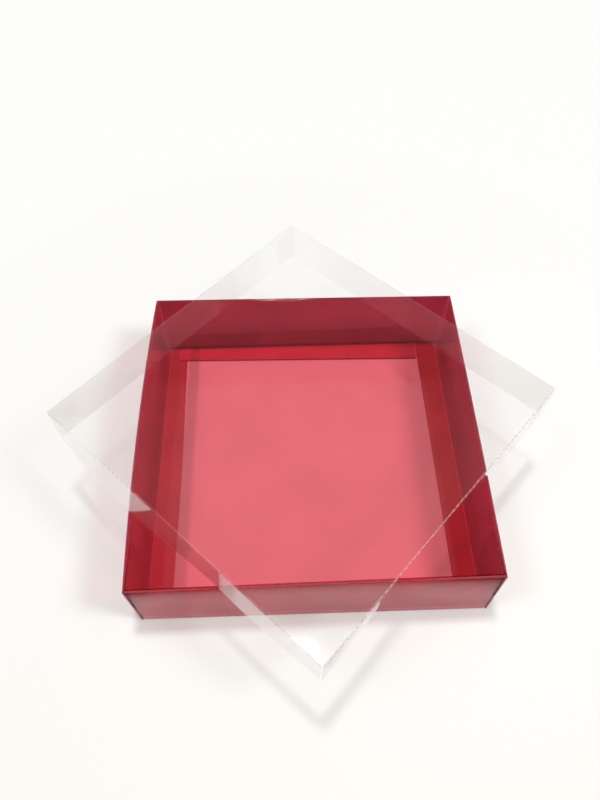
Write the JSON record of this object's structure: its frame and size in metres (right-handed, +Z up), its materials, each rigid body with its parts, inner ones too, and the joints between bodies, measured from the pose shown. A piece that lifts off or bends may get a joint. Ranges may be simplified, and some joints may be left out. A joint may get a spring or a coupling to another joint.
{
  "type": "acetate gift box",
  "caption": "Square tray of folded see-through red film with double walls and floor flaps, and a clear film lid that lies turned across its rim.",
  "frame": {"origin": "middle of the tray's underside, on the surface that the box stands on", "axes": "+X to the right along the tray's front, +Y towards its back, +Z up out of the tray"},
  "size_m": [0.2884, 0.2884, 0.0783],
  "materials": {
    "red_film": "glossy see-through red acetate film",
    "clear_film": "glossy clear acetate film"
  },
  "bodies": {
    "tray": {"floor_panel": "red_film", "outer_wall_front": "red_film", "outer_wall_right": "red_film", "outer_wall_back": "red_film", "outer_wall_left": "red_film", "rim_front": "red_film", "rim_right": "red_film", "rim_back": "red_film", "rim_left": "red_film", "inner_wall_front": "red_film", "inner_wall_right": "red_film", "inner_wall_back": "red_film", "inner_wall_left": "red_film", "tuck_tab_front_left": "red_film", "tuck_tab_front_right": "red_film", "tuck_tab_back_right": "red_film", "tuck_tab_back_left": "red_film"},
    "flap_front": {"floor_flap_front": "red_film"},
    "flap_right": {"floor_flap_right": "red_film"},
    "flap_back": {"floor_flap_back": "red_film"},
    "flap_left": {"floor_flap_left": "red_film"},
    "lid": {"lid_top": "clear_film", "lid_wall_front_left": "clear_film", "lid_wall_front_right": "clear_film", "lid_wall_back_right": "clear_film", "lid_wall_back_left": "clear_film", "lid_tab_left": "clear_film", "lid_tab_front": "clear_film", "lid_tab_right": "clear_film", "lid_tab_back": "clear_film"}
  },
  "joints": [
    {"name": "lid_lift", "type": "slide", "parent": "tray", "child": "lid", "axis": [0, 0, 1], "range_m": [0, 0.06]},
    {"name": "flap_front_fold", "type": "hinge", "parent": "tray", "child": "flap_front", "pos_m": [0, -0.0972, 0.0009], "axis": [1, 0, 0], "range_deg": [0, 85]},
    {"name": "flap_right_fold", "type": "hinge", "parent": "tray", "child": "flap_right", "pos_m": [0.0972, 0, 0.0009], "axis": [0, 1, 0], "range_deg": [0, 85]},
    {"name": "flap_back_fold", "type": "hinge", "parent": "tray", "child": "flap_back", "pos_m": [0, 0.0972, 0.0009], "axis": [-1, 0, 0], "range_deg": [0, 85]},
    {"name": "flap_left_fold", "type": "hinge", "parent": "tray", "child": "flap_left", "pos_m": [-0.0972, 0, 0.0009], "axis": [0, -1, 0], "range_deg": [0, 85]}
  ]
}
